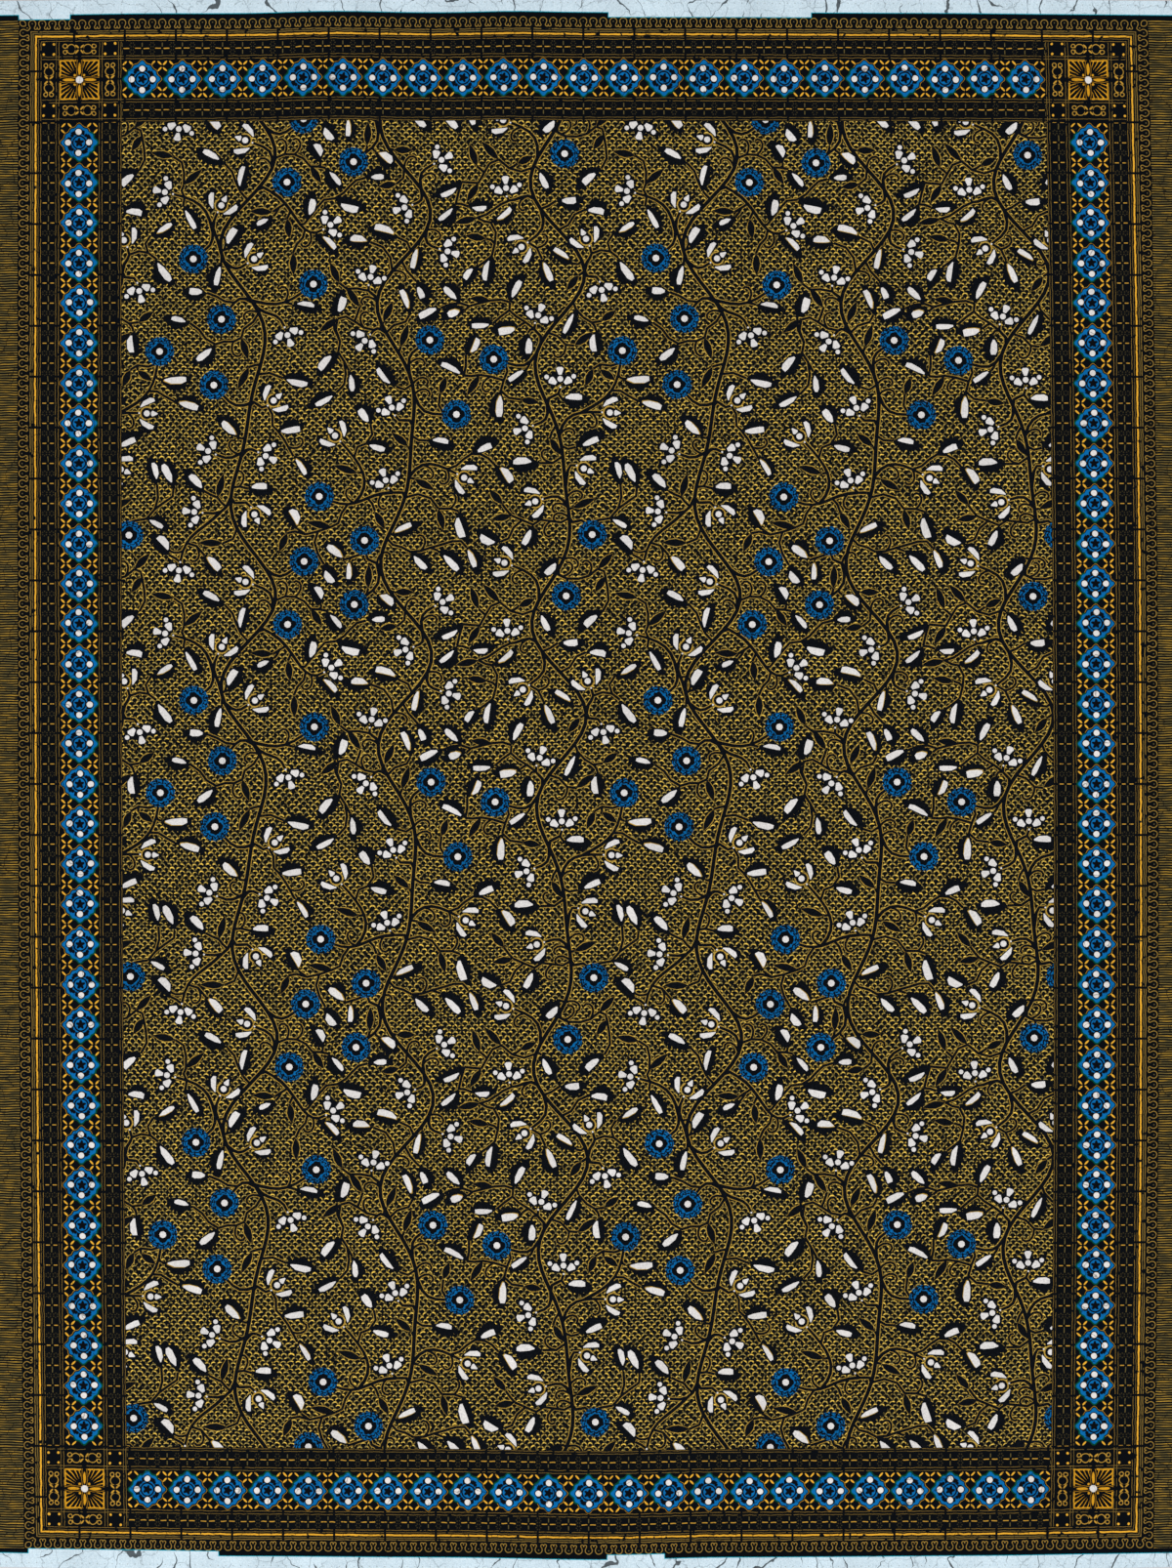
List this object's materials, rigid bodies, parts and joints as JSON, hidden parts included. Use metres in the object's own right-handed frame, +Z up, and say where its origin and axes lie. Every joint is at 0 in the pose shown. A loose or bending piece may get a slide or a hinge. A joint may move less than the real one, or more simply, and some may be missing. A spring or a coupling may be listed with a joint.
{
  "type": "wax print fabric panel laid flat",
  "caption": "Flat panel of wax print cotton a yard long, full woven width, with bordered floral print and pale selvedges.",
  "frame": {"origin": "on the surface the panel lies on, under the middle of its outline", "axes": "+X along the selvedges, +Y across the width towards the top selvedge, +Z up out of the cloth"},
  "size_m": [0.932, 1.2308, 0.0054],
  "materials": {
    "printed_cotton": "plain-weave cotton with a smooth calendered face, printed in navy, ochre and blue",
    "selvedge_cotton": "undyed densely woven self-edge with fine dark crackle veins"
  },
  "bodies": {
    "root": {"cloth": "printed_cotton", "selvedge_top": "selvedge_cotton", "selvedge_bottom": "selvedge_cotton"}
  },
  "joints": []
}
